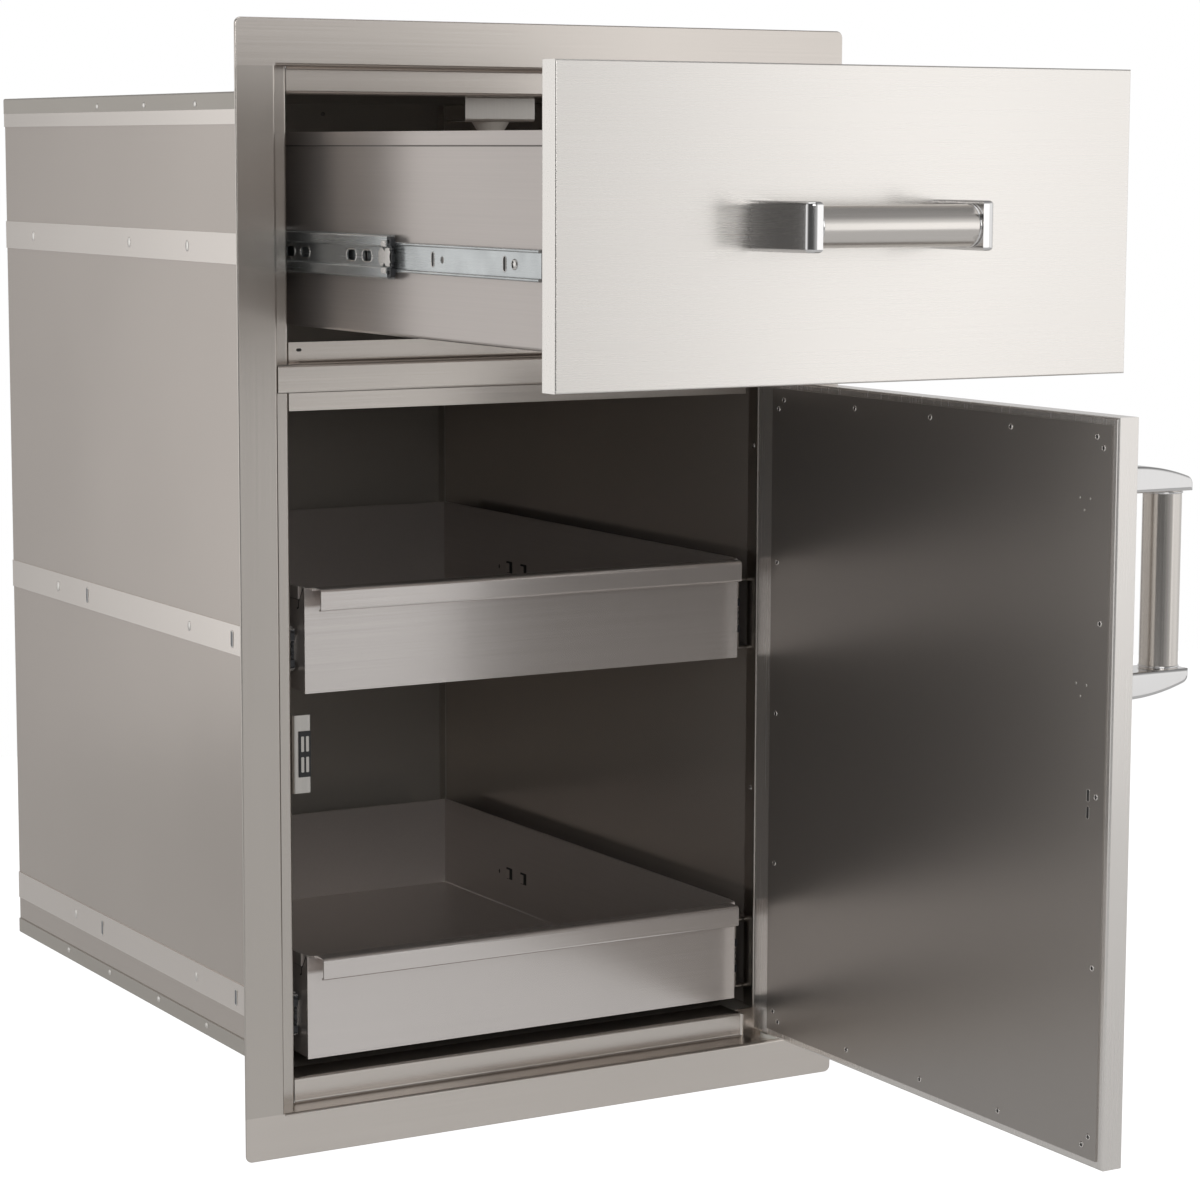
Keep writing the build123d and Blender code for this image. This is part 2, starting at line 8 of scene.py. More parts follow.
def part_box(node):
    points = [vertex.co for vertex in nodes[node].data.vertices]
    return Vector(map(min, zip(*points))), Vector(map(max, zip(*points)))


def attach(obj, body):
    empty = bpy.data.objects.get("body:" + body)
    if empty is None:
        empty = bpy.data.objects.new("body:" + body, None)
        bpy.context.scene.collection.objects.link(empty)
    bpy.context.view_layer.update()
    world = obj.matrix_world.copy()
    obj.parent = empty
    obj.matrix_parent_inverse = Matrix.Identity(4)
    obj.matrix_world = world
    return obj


# Looks for a built-in door and drawer unit in folded stainless sheet. Metres, in the frame of
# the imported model: X to the right, Y into the island, Z up from the frame's bottom edge.
# Small pieces are written in millimetres and become metres where their meshes are made.

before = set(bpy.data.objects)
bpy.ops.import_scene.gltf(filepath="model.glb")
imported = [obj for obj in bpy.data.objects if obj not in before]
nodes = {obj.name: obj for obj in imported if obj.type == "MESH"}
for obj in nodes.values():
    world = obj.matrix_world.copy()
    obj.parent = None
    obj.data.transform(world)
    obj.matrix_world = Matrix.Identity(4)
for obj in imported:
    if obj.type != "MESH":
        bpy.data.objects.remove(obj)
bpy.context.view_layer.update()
MM = 0.001

GROUPS = ("top", "mid", "low")
HANDS = ("left", "right")
SIDE = {"left": -1.0, "right": 1.0}
DRAWER_BODY = {"top": "top_drawer", "mid": "mid_tray", "low": "low_tray"}

# Sheet of the trays, the drawer box and the slides' channels, and of the case
SHEET = 1.2
CASE_SHEET = 1.0

# Directions of the rolling and brushing marks
GRAIN_X = (5.0, 900.0, 900.0)
GRAIN_Y = (900.0, 5.0, 900.0)
GRAIN_Z = (900.0, 900.0, 5.0)
SCRATCH_DEPTH = 0.3
LEAST_ROUGHNESS = 0.02


# Shader group shared by the finishes
def new_group(name, inputs, outputs):
    """Empty shader group with named sockets."""
    group = bpy.data.node_groups.new(name, "ShaderNodeTree")
    for label, kind in inputs:
        group.interface.new_socket(label, in_out="INPUT", socket_type=kind)
    for label, kind in outputs:
        group.interface.new_socket(label, in_out="OUTPUT", socket_type=kind)
    group_in = group.nodes.new("NodeGroupInput")
    group_out = group.nodes.new("NodeGroupOutput")
    return group, group_in, group_out


def make_brushed_grain():
    """Long fine scratches, broken up by slow cloudy patches."""
    group, source, result = new_group(
        "brushed_grain",
        [("Place", "NodeSocketVector"), ("Stretch", "NodeSocketVector"), ("Patch Size", "NodeSocketFloat")],
        [("Streak", "NodeSocketFloat"), ("Patch", "NodeSocketFloat")],
    )
    link = group.links.new
    stretched = group.nodes.new("ShaderNodeVectorMath")
    stretched.operation = "MULTIPLY"
    link(source.outputs["Place"], stretched.inputs[0])
    link(source.outputs["Stretch"], stretched.inputs[1])
    fine = group.nodes.new("ShaderNodeTexNoise")
    fine.inputs["Scale"].default_value = 1.0
    fine.inputs["Detail"].default_value = 3.0
    fine.inputs["Roughness"].default_value = 0.65
    link(stretched.outputs["Vector"], fine.inputs["Vector"])
    spread = group.nodes.new("ShaderNodeMapRange")
    spread.inputs["From Min"].default_value = 0.3
    spread.inputs["From Max"].default_value = 0.7
    link(fine.outputs["Fac"], spread.inputs["Value"])
    link(spread.outputs["Result"], result.inputs["Streak"])
    cloud = group.nodes.new("ShaderNodeTexNoise")
    cloud.inputs["Detail"].default_value = 2.0
    link(source.outputs["Place"], cloud.inputs["Vector"])
    link(source.outputs["Patch Size"], cloud.inputs["Scale"])
    soften = group.nodes.new("ShaderNodeMapRange")
    soften.inputs["From Min"].default_value = 0.35
    soften.inputs["From Max"].default_value = 0.65
    link(cloud.outputs["Fac"], soften.inputs["Value"])
    link(soften.outputs["Result"], result.inputs["Patch"])
    return group


BRUSHED_GRAIN = make_brushed_grain()


def scaled(colour, factor):
    """Colour made lighter or darker, with full alpha."""
    return tuple(min(1.0, channel * factor) for channel in colour) + (1.0,)


def surface(
    name, colour, stretch, roughness,
    streak=0.03, swing=0.02, patch=0.05, patch_size=4.0, bump=0.01, metallic=1.0,
):
    """Finish with brushing or moulding marks along one direction and slow cloudy patches."""
    finish = bpy.data.materials.new(name)
    finish.use_nodes = True
    tree = finish.node_tree
    link = tree.links.new
    shader = tree.nodes["Principled BSDF"]
    shader.inputs["Metallic"].default_value = metallic
    place = tree.nodes.new("ShaderNodeTexCoord")
    grain = tree.nodes.new("ShaderNodeGroup")
    grain.node_tree = BRUSHED_GRAIN
    grain.inputs["Stretch"].default_value = stretch
    grain.inputs["Patch Size"].default_value = patch_size
    link(place.outputs["Object"], grain.inputs["Place"])
    scratch = tree.nodes.new("ShaderNodeMix")
    scratch.data_type = "RGBA"
    scratch.inputs["A"].default_value = scaled(colour, 1.0 - streak)
    scratch.inputs["B"].default_value = scaled(colour, 1.0 + streak)
    link(grain.outputs["Streak"], scratch.inputs["Factor"])
    shade = tree.nodes.new("ShaderNodeMix")
    shade.data_type = "RGBA"
    shade.blend_type = "MULTIPLY"
    shade.inputs["Factor"].default_value = 1.0
    link(scratch.outputs["Result"], shade.inputs["A"])
    tone = tree.nodes.new("ShaderNodeMapRange")
    tone.inputs["To Min"].default_value = 1.0 - patch
    tone.inputs["To Max"].default_value = 1.0
    link(grain.outputs["Patch"], tone.inputs["Value"])
    link(tone.outputs["Result"], shade.inputs["B"])
    link(shade.outputs["Result"], shader.inputs["Base Color"])
    rough = tree.nodes.new("ShaderNodeMapRange")
    rough.inputs["To Min"].default_value = max(LEAST_ROUGHNESS, roughness - swing)
    rough.inputs["To Max"].default_value = roughness + swing
    link(grain.outputs["Streak"], rough.inputs["Value"])
    link(rough.outputs["Result"], shader.inputs["Roughness"])
    dent = tree.nodes.new("ShaderNodeBump")
    dent.inputs["Strength"].default_value = bump
    dent.inputs["Distance"].default_value = SCRATCH_DEPTH * MM
    link(grain.outputs["Streak"], dent.inputs["Height"])
    link(dent.outputs["Normal"], shader.inputs["Normal"])
    return finish


def paint(finish, *names):
    """Give a finish to CAD nodes."""
    for name in names:
        slots = nodes[name].data.materials
        slots.clear()
        slots.append(finish)


# Sheet left as it came from the mill shows next to no brushing
SMOOTH = {"streak": 0.006, "swing": 0.004, "bump": 0.0}
# Zinc plating clouds over in small patches
CLOUDED = {"patch": 0.14, "patch_size": 40.0}

# Face frame, drawer front and door: one stainless sheet, its tones painted light and shade, darker on the
# stiles and rails and near white on the drawer front and door
stile_steel = surface("stile_steel", (0.64, 0.595, 0.55), GRAIN_Z, 0.26, streak=0.015, swing=0.01)
rail_steel = surface("rail_steel", (0.75, 0.695, 0.645), GRAIN_X, 0.24)
front_steel = surface(
    "front_steel", (0.88, 0.845, 0.805), GRAIN_X, 0.27, streak=0.01, swing=0.01, patch=0.02, bump=0.006
)
door_steel = surface("door_steel", (0.86, 0.825, 0.79), GRAIN_Z, 0.26, streak=0.015, metallic=0.85)
# Painted shade: the same steel much darker on the inner faces of the door and the drawer front
liner_steel = surface("liner_steel", (0.44, 0.41, 0.385), GRAIN_Y, 0.32, **SMOOTH, patch=0.03, metallic=0.85)

# Case, drawer box and trays
case_side_steel = surface("case_side_steel", (0.62, 0.56, 0.51), GRAIN_Y, 0.20, **SMOOTH, metallic=0.75)
case_steel = surface("case_steel", (0.52, 0.485, 0.44), GRAIN_Y, 0.42, **SMOOTH, metallic=0.75)
strip_steel = surface("strip_steel", (0.90, 0.835, 0.78), GRAIN_Y, 0.18, **SMOOTH)
slide_rail_steel = surface("slide_rail_steel", (0.50, 0.46, 0.42), GRAIN_Y, 0.36)
box_steel = surface("box_steel", (0.58, 0.53, 0.50), GRAIN_Y, 0.30, metallic=0.7)
tray_steel = surface("tray_steel", (0.54, 0.495, 0.465), GRAIN_Y, 0.34, metallic=0.6)
# Painted highlight: the tray steel much lighter on the tray fronts, standing in for a lamp's highlight
# across them
tray_front_steel = surface("tray_front_steel", (0.82, 0.77, 0.74), GRAIN_X, 0.22, metallic=0.85)

# Slides, handles and fittings
zinc = surface("zinc", (0.64, 0.665, 0.67), GRAIN_Y, 0.26, **CLOUDED, metallic=0.85)
worn_zinc = surface("worn_zinc", (0.50, 0.485, 0.47), GRAIN_Y, 0.26, **CLOUDED, metallic=0.85)
chrome = surface("chrome", (0.80, 0.79, 0.785), GRAIN_Z, 0.10, streak=0.01, bump=0.0)
bar_steel = surface("bar_steel", (0.80, 0.76, 0.72), GRAIN_X, 0.22)
door_bar_steel = surface("door_bar_steel", (0.72, 0.68, 0.64), GRAIN_Z, 0.22)
retainer_steel = surface("retainer_steel", (0.24, 0.25, 0.27), GRAIN_Y, 0.40)
fitting_steel = surface("fitting_steel", (0.60, 0.575, 0.54), GRAIN_Z, 0.30)
rivet_steel = surface("rivet_steel", (0.78, 0.75, 0.72), GRAIN_Z, 0.25, streak=0.02, bump=0.0)
weld_steel = surface("weld_steel", (0.82, 0.79, 0.75), GRAIN_Y, 0.32, streak=0.02, bump=0.0)

# Magnet, plastic parts, the dark of seams and slots, and the painted shadow tone
magnet_black = surface(
    "magnet_black", (0.022, 0.022, 0.024), GRAIN_Z, 0.55, patch=0.3, patch_size=60.0, metallic=0.0
)
clip_black = surface(
    "clip_black", (0.030, 0.031, 0.034), GRAIN_Z, 0.45, patch=0.3, patch_size=90.0, metallic=0.0
)
# Painted shadow tone, laid in thin lines where shade falls under the folded hems; the back rivets use the
# same dark
painted_shadow_and_rivet_dark = surface("painted_shadow_and_rivet_dark", (0.24, 0.22, 0.205), GRAIN_Y, 0.50, streak=0.02, metallic=0.4)
slot_dark = surface(
    "slot_dark", (0.035, 0.033, 0.031), GRAIN_Y, 0.60, patch=0.3, patch_size=90.0, metallic=0.0
)
buffer_grey = surface(
    "buffer_grey", (0.16, 0.16, 0.16), GRAIN_Z, 0.60, patch=0.2, patch_size=120.0, metallic=0.0
)
nylon = surface("nylon", (0.72, 0.70, 0.64), GRAIN_Z, 0.50, streak=0.02, metallic=0.0)
soft_clear = surface("soft_clear", (0.62, 0.59, 0.54), GRAIN_Z, 0.45, streak=0.02, metallic=0.0)

paint(stile_steel, "left_stile", "right_stile")
paint(rail_steel, "head_rail", "sill_rail", "mid_rail")
paint(case_side_steel, "left_case_side", "right_case_side")
paint(case_steel, "case_top_cap", "case_bottom_cap", "case_back")
paint(strip_steel, "left_backing_strips", "right_backing_strips")
paint(slide_rail_steel, "left_slide_rails", "right_slide_rails")
paint(box_steel, "drawer_box")
paint(front_steel, "drawer_front_skin")
paint(liner_steel, "door_liner", "drawer_front_liner")
paint(door_steel, "door_skin")
paint(tray_steel, "mid_tray_pan", "low_tray_pan")
paint(tray_front_steel, "mid_tray_front", "low_tray_front")
paint(chrome, "drawer_handle_left_bracket", "drawer_handle_right_bracket")
paint(chrome, "door_handle_upper_bracket", "door_handle_lower_bracket")
paint(bar_steel, "drawer_handle_tube")
paint(door_bar_steel, "door_handle_tube")
for group in GROUPS:
    paint(retainer_steel, group + "_ball_retainers")
    for hand in HANDS:
        for member in ("outer", "middle", "inner"):
            paint(zinc if group == "top" else worn_zinc, f"{group}_{hand}_slide_{member}")
paint(fitting_steel, "catch_bracket", "stop_bracket", "door_strike")
paint(fitting_steel, "lower_pivot", "upper_pivot_block", "upper_hinge_pin")
paint(magnet_black, "catch_magnet")
paint(nylon, "hinge_bushes")
paint(soft_clear, "stop_bumper")


# Which way a small piece stands out of the sheet
QUARTER = math.radians(90)
LEFTWARD = (QUARTER, 0.0, -QUARTER)
RIGHTWARD = (QUARTER, 0.0, QUARTER)
FRONTWARD = (QUARTER, 0.0, 0.0)
BACKWARD = (QUARTER, 0.0, 2 * QUARTER)
UPWARD = (0.0, 0.0, 0.0)
OUTWARD = {"left": LEFTWARD, "right": RIGHTWARD}
INWARD = {"left": RIGHTWARD, "right": LEFTWARD}


# Geometry trees for what repeats
def new_tree(name, labels):
    """Empty geometry tree that takes places, sizes, a turn and a finish."""
    tree = bpy.data.node_groups.new(name, "GeometryNodeTree")
    add = tree.interface.new_socket
    add("Places", in_out="INPUT", socket_type="NodeSocketGeometry")
    for label in labels:
        add(label, in_out="INPUT", socket_type="NodeSocketFloat")
    add("Turn", in_out="INPUT", socket_type="NodeSocketVector")
    add("Finish", in_out="INPUT", socket_type="NodeSocketMaterial")
    add("Pieces", in_out="OUTPUT", socket_type="NodeSocketGeometry")
    source = tree.nodes.new("NodeGroupInput")
    result = tree.nodes.new("NodeGroupOutput")
    return tree, source, result


def stand_on_places(tree, source, result, shape, vary):
    """Set one shape on every place, some a little smaller, as one plain mesh."""
    link = tree.links.new
    turn = tree.nodes.new("FunctionNodeEulerToRotation")
    link(source.outputs["Turn"], turn.inputs["Euler"])
    # Inputs 2 and 3 are the least and the most of a random number
    size = tree.nodes.new("FunctionNodeRandomValue")
    size.data_type = "FLOAT"
    size.inputs[2].default_value = 1.0 - vary
    size.inputs[3].default_value = 1.0
    size.inputs["Seed"].default_value = 7
    stand = tree.nodes.new("GeometryNodeInstanceOnPoints")
    link(source.outputs["Places"], stand.inputs["Points"])
    link(shape, stand.inputs["Instance"])
    link(turn.outputs["Rotation"], stand.inputs["Rotation"])
    link(size.outputs[1], stand.inputs["Scale"])
    plain = tree.nodes.new("GeometryNodeRealizeInstances")
    link(stand.outputs["Instances"], plain.inputs["Geometry"])
    coat = tree.nodes.new("GeometryNodeSetMaterial")
    link(plain.outputs["Geometry"], coat.inputs["Geometry"])
    link(source.outputs["Finish"], coat.inputs["Material"])
    link(coat.outputs["Geometry"], result.inputs["Pieces"])


def smoothed(tree, shape):
    """Smooth shading on a shape."""
    smooth = tree.nodes.new("GeometryNodeSetShadeSmooth")
    tree.links.new(shape, smooth.inputs["Geometry"])
    return smooth.outputs["Geometry"]


def make_dome_row():
    """Low domes: weld dimples, screw heads and the dark middles of rivets."""
    tree, source, result = new_tree("dome_row", ("Length", "Width", "Height"))
    link = tree.links.new
    ball = tree.nodes.new("GeometryNodeMeshUVSphere")
    ball.inputs["Segments"].default_value = 20
    ball.inputs["Rings"].default_value = 10
    ball.inputs["Radius"].default_value = 0.5
    size = tree.nodes.new("ShaderNodeCombineXYZ")
    link(source.outputs["Length"], size.inputs["X"])
    link(source.outputs["Width"], size.inputs["Y"])
    double = tree.nodes.new("ShaderNodeMath")
    double.operation = "MULTIPLY"
    double.inputs[1].default_value = 2.0
    link(source.outputs["Height"], double.inputs[0])
    link(double.outputs["Value"], size.inputs["Z"])
    press = tree.nodes.new("GeometryNodeTransform")
    link(ball.outputs["Mesh"], press.inputs["Geometry"])
    link(size.outputs["Vector"], press.inputs["Scale"])
    stand_on_places(tree, source, result, smoothed(tree, press.outputs["Geometry"]), vary=0.12)
    return tree


def slot_outline(tree, source):
    """Closed outline with rounded corners."""
    link = tree.links.new
    outline = tree.nodes.new("GeometryNodeCurvePrimitiveQuadrilateral")
    link(source.outputs["Length"], outline.inputs["Width"])
    link(source.outputs["Width"], outline.inputs["Height"])
    rounded = tree.nodes.new("GeometryNodeFilletCurve")
    rounded.mode = "POLY"
    rounded.inputs["Count"].default_value = 6
    rounded.inputs["Limit Radius"].default_value = True
    link(outline.outputs["Curve"], rounded.inputs["Curve"])
    link(source.outputs["Corner"], rounded.inputs["Radius"])
    return rounded.outputs["Curve"]


def make_rim_row():
    """Rolled rims around slots and holes, the flanges of rivets and the handles' collars."""
    tree, source, result = new_tree("rim_row", ("Length", "Width", "Corner", "Bead"))
    link = tree.links.new
    wire = tree.nodes.new("GeometryNodeCurvePrimitiveCircle")
    wire.inputs["Resolution"].default_value = 8
    link(source.outputs["Bead"], wire.inputs["Radius"])
    rim = tree.nodes.new("GeometryNodeCurveToMesh")
    link(slot_outline(tree, source), rim.inputs["Curve"])
    link(wire.outputs["Curve"], rim.inputs["Profile Curve"])
    stand_on_places(tree, source, result, smoothed(tree, rim.outputs["Mesh"]), vary=0.0)
    return tree


def make_plate_row():
    """Thin plates with rounded corners: pole bars, tabs, shadow lines and dark slot floors."""
    tree, source, result = new_tree("plate_row", ("Length", "Width", "Corner", "Height"))
    link = tree.links.new
    sheet = tree.nodes.new("GeometryNodeFillCurve")
    sheet.mode = "NGONS"
    link(slot_outline(tree, source), sheet.inputs["Curve"])
    raised = tree.nodes.new("GeometryNodeExtrudeMesh")
    raised.inputs["Individual"].default_value = False
    link(sheet.outputs["Mesh"], raised.inputs["Mesh"])
    link(source.outputs["Height"], raised.inputs["Offset Scale"])
    under = tree.nodes.new("GeometryNodeFlipFaces")
    link(sheet.outputs["Mesh"], under.inputs["Mesh"])
    both = tree.nodes.new("GeometryNodeJoinGeometry")
    link(under.outputs["Mesh"], both.inputs["Geometry"])
    link(raised.outputs["Mesh"], both.inputs["Geometry"])
    closed = tree.nodes.new("GeometryNodeMergeByDistance")
    closed.inputs["Distance"].default_value = 0.001 * MM
    link(both.outputs["Geometry"], closed.inputs["Geometry"])
    stand_on_places(tree, source, result, closed.outputs["Geometry"], vary=0.0)
    return tree


DOME_ROW = make_dome_row()
RIM_ROW = make_rim_row()
PLATE_ROW = make_plate_row()


def show(name, data):
    """Object made of a mesh, a camera or a lamp, in the scene at the origin."""
    piece = bpy.data.objects.new(name, data)
    bpy.context.scene.collection.objects.link(piece)
    return piece


def hand_over(piece, body):
    """Let a finished piece move with its body."""
    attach(piece, body)


def row(name, tree, places, turn, finish, body, slot, **sizes):
    """Grow a tree on places given in millimetres and keep the result as a plain mesh."""
    points = bpy.data.meshes.new(name + "_places")
    points.from_pydata([[length * MM for length in place] for place in places], [], [])
    piece = show(name, points)
    values = {"Turn": turn, "Finish": finish}
    values.update({label.capitalize(): length * MM for label, length in sizes.items()})
    grower = piece.modifiers.new("grower", "NODES")
    grower.node_group = tree
    for socket in tree.interface.items_tree:
        if socket.in_out == "INPUT" and socket.name in values:
            grower[socket.identifier] = values[socket.name]
    graph = bpy.context.evaluated_depsgraph_get()
    grown = bpy.data.meshes.new_from_object(piece.evaluated_get(graph))
    piece.modifiers.clear()
    piece.data = grown
    grown.name = name
    bpy.data.meshes.remove(points)
    hand_over(piece, body)


def box_mm(node):
    """Corners of a CAD node in millimetres."""
    low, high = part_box(node)
    return low / MM, high / MM


def spaced(start, end, count):
    """Evenly spaced lengths from start to end."""
    return [start + (end - start) * step / (count - 1) for step in range(count)]


# Case: weld dimples and tucked slots on the strips, rivets along the cap flanges
STRIP_LEVELS = {"top": 640.3, "mid": 357.0, "low": 89.5}
STRIP_WELDS = {"top": (187.5, 298.5, 501.5), "mid": (192.5, 459.5), "low": (187.5, 432.5)}
STRIP_TUCKS = {"mid": (114.5, 396.5), "low": (114.5, 375.5)}
TOP_FLANGE_RIVETS = (169.5, 265.5, 358.5)
BASE_FLANGE_RIVETS = (168.5, 260.5, 360.5, 449.5)
FLANGE_SHIFT = 2.0

top_low, top_high = box_mm("case_top_cap")
base_low, base_high = box_mm("case_bottom_cap")
flange_top = (top_low.z + top_high.z) / 2 - FLANGE_SHIFT
flange_base = (base_low.z + base_high.z) / 2 + FLANGE_SHIFT
for hand in HANDS:
    strip_low, strip_high = box_mm(hand + "_backing_strips")
    strip_face = strip_low.x if hand == "left" else strip_high.x
    flange_face = SIDE[hand] * top_high.x
    welds = [(strip_face, y, STRIP_LEVELS[group]) for group in GROUPS for y in STRIP_WELDS[group]]
    row(hand + "_strip_welds", DOME_ROW, welds, OUTWARD[hand], weld_steel, "cabinet", "strip_steel",
        length=6.5, width=8.5, height=0.7)
    tucks = [(strip_face, y, STRIP_LEVELS[group]) for group in ("mid", "low") for y in STRIP_TUCKS[group]]
    row(hand + "_strip_tucks", RIM_ROW, tucks, OUTWARD[hand], weld_steel, "cabinet", "strip_steel",
        length=4.0, width=12.0, corner=1.9, bead=0.5)
    row(hand + "_strip_tuck_floors", PLATE_ROW, tucks, OUTWARD[hand], retainer_steel,
        "cabinet", "strip_steel", length=3.6, width=11.6, corner=1.7, height=0.1)
    rivets = [(flange_face, y, flange_top) for y in TOP_FLANGE_RIVETS]
    rivets += [(flange_face, y, flange_base) for y in BASE_FLANGE_RIVETS]
    row(hand + "_flange_rivets", DOME_ROW, rivets, OUTWARD[hand], weld_steel, "cabinet", "case_steel",
        length=6.0, width=5.0, height=0.9)

# Jamb screws beside the hinge
JAMB_SCREW_DEPTH = 42.0
JAMB_SCREW_LEVELS = (488.0, 222.0)
jamb_face = box_mm("right_stile")[0].x
jamb_screws = [(jamb_face, JAMB_SCREW_DEPTH, z) for z in JAMB_SCREW_LEVELS]
row("jamb_screws", DOME_ROW, jamb_screws, LEFTWARD, rivet_steel, "cabinet", "rail_steel",
    length=5.0, width=5.0, height=1.0)

# Rivets high on the back pan
BACK_RIVET_SPREAD = 88.0
BACK_RIVET_DROP = 9.0
back_top = box_mm("case_back")[1]
back_rivets = [
    (x, back_top.y - CASE_SHEET, back_top.z - BACK_RIVET_DROP)
    for x in (-BACK_RIVET_SPREAD, BACK_RIVET_SPREAD)
]
row("back_rivets", DOME_ROW, back_rivets, FRONTWARD, painted_shadow_and_rivet_dark, "cabinet", "case_steel",
    length=4.4, width=4.4, height=1.0)

# Hole in the ledge of the mid rail
LEDGE_HOLE_X = -192.0
LEDGE_HOLE_DEPTH = 20.5
LEDGE_HOLE_DROP = 5.4
ledge_top = box_mm("mid_rail")[1].z
ledge_hole = [(LEDGE_HOLE_X, LEDGE_HOLE_DEPTH, ledge_top - LEDGE_HOLE_DROP)]
row("ledge_hole", PLATE_ROW, ledge_hole, FRONTWARD, slot_dark, "cabinet", "rail_steel",
    length=4.0, width=2.2, corner=1.0, height=0.06)

# Pole bars on the magnet of the catch
POLE_SPREAD = 1.9
POLE_RISE = 7.4
magnet_low, magnet_high = box_mm("catch_magnet")
middle_x = (magnet_low.x + magnet_high.x) / 2
middle_z = (magnet_low.z + magnet_high.z) / 2
poles = [
    (middle_x + x, magnet_low.y, middle_z + z)
    for x in (-POLE_SPREAD, POLE_SPREAD)
    for z in (-POLE_RISE, POLE_RISE)
]
row("magnet_poles", PLATE_ROW, poles, FRONTWARD, fitting_steel, "cabinet", "magnet_black",
    length=2.2, width=11.0, corner=0.6, height=0.15)

# Pop rivets around the liners
RIVET_SET_IN = 8.3
RIVET_CORNER = 15.3


def pop_rivets(name, places, turn, body):
    """Rivet flanges with dark middles."""
    row(name + "_rivets", RIM_ROW, places, turn, rivet_steel, body, "liner_steel",
        length=3.4, width=3.4, corner=1.7, bead=0.55)
    row(name + "_rivet_middles", DOME_ROW, places, turn, slot_dark, body, "liner_steel",
        length=2.9, width=2.9, height=0.3)


def edge_places(low, high, across, up):
    """Places around a sheet, set in from its edges, as pairs of lengths."""
    along = spaced(low[0] + RIVET_CORNER, high[0] - RIVET_CORNER, across)
    rise = spaced(low[1] + RIVET_CORNER, high[1] - RIVET_CORNER, up)
    rows = (low[1] + RIVET_SET_IN, high[1] - RIVET_SET_IN)
    columns = (low[0] + RIVET_SET_IN, high[0] - RIVET_SET_IN)
    pairs = [(length, height) for height in rows for length in along]
    pairs += [(length, height) for length in columns for height in rise]
    return pairs


# Door liner: rivets, the strike's slots and the marks of the handle's fixings
STRIKE_SLOT_SET_IN = 16.5
STRIKE_SLOT_LEVELS = (276.1, 287.6)
FIXING_SET_IN = 26.7
FIXING_LEVELS = (361.0, 485.0)
FIXING_MARKS = ((-5.5, 0.0), (5.5, 0.0), (0.5, -8.0))

low, high = box_mm("door_liner")
pairs = edge_places((low.y, low.z), (high.y, high.z), across=5, up=5)
pop_rivets("door_liner", [(low.x, y, z) for y, z in pairs], LEFTWARD, "door")
strike_slots = [(low.x, low.y + STRIKE_SLOT_SET_IN, z) for z in STRIKE_SLOT_LEVELS]
row("strike_slots", PLATE_ROW, strike_slots, LEFTWARD, slot_dark, "door", "liner_steel",
    length=2.6, width=8.4, corner=1.2, height=0.08)
row("strike_slot_rims", RIM_ROW, strike_slots, LEFTWARD, rivet_steel, "door", "liner_steel",
    length=2.8, width=8.6, corner=1.3, bead=0.18)
fixings = [
    (low.x, low.y + FIXING_SET_IN + along, level + up)
    for level in FIXING_LEVELS
    for along, up in FIXING_MARKS
]
row("handle_fixings", DOME_ROW, fixings, LEFTWARD, fitting_steel, "door", "liner_steel",
    length=2.4, width=2.4, height=0.25)

low, high = box_mm("drawer_front_liner")
pairs = edge_places((low.x, low.z), (high.x, high.z), across=5, up=3)
pop_rivets("drawer_liner", [(x, high.y, z) for x, z in pairs], BACKWARD, "top_drawer")


# Pieces cut from flat stock
def cut_out(bm, outline, near, far):
    """Flat outline in Y and Z given a thickness in X, all in millimetres."""
    front = [bm.verts.new((near * MM, y * MM, z * MM)) for y, z in outline]
    back = [bm.verts.new((far * MM, y * MM, z * MM)) for y, z in outline]
    bm.faces.new(front)
    bm.faces.new(list(reversed(back)))
    for place in range(len(outline)):
        following = (place + 1) % len(outline)
        bm.faces.new((front[following], front[place], back[place], back[following]))


def cut_piece(name, cuts, finish, body, soften):
    """Piece made of several cut outlines with softened edges."""
    bm = bmesh.new()
    for outline, near, far in cuts:
        cut_out(bm, outline, near, far)
    bmesh.ops.recalc_face_normals(bm, faces=bm.faces[:])
    bmesh.ops.bevel(bm, geom=bm.edges[:], offset=soften * MM, segments=2, profile=0.5, affect="EDGES")
    mesh = bpy.data.meshes.new(name)
    bm.to_mesh(mesh)
    bm.free()
    mesh.materials.append(finish)
    hand_over(show(name, mesh), body)


def turned_down(outline):
    """Outline upside down."""
    return [(y, -z) for y, z in outline]


def both_ways(upper):
    """Outline from its upper half, given front to back, and the same half turned down."""
    return upper + list(reversed(turned_down(upper)))


def moved(outline, y, z):
    """Outline shifted to a place."""
    return [(y + point[0], z + point[1]) for point in outline]


# Slides: outlines from the front end of a member, on its middle line, as Y and Z
LATCH = both_ways([
    (-2.4, 1.6), (-3.4, 3.4), (-2.2, 5.0), (-2.8, 6.2), (3.0, 6.2),
    (4.2, 4.4), (6.4, 4.4), (7.6, 6.0), (11.0, 6.0), (14.0, 3.2),
])
LATCH_TAB = [
    (1.0, 6.9), (6.5, 6.9), (8.5, 8.4), (6.5, 11.0),
    (4.4, 11.0), (3.6, 9.6), (2.8, 11.0), (1.0, 11.0),
]
CLIP = [
    (-5.2, 7.2), (-1.6, 7.2), (-1.6, 8.6), (-3.4, 9.4), (-3.4, 11.0),
    (-1.6, 11.8), (0.6, 11.8), (0.6, 13.4), (-4.2, 13.4), (-5.4, 12.0),
]
HOOK = both_ways([
    (-4.6, 0.9), (-5.6, 2.6), (-4.4, 4.2), (-5.4, 6.0), (-4.2, 6.8),
    (-3.6, 6.0), (-3.4, 4.4), (-4.4, 3.0), (-3.4, 1.4),
])
BUFFER = both_ways([(0.4, 7.2), (1.6, 8.6), (5.6, 8.6), (7.0, 7.4), (7.0, 3.0), (8.0, 2.4)])

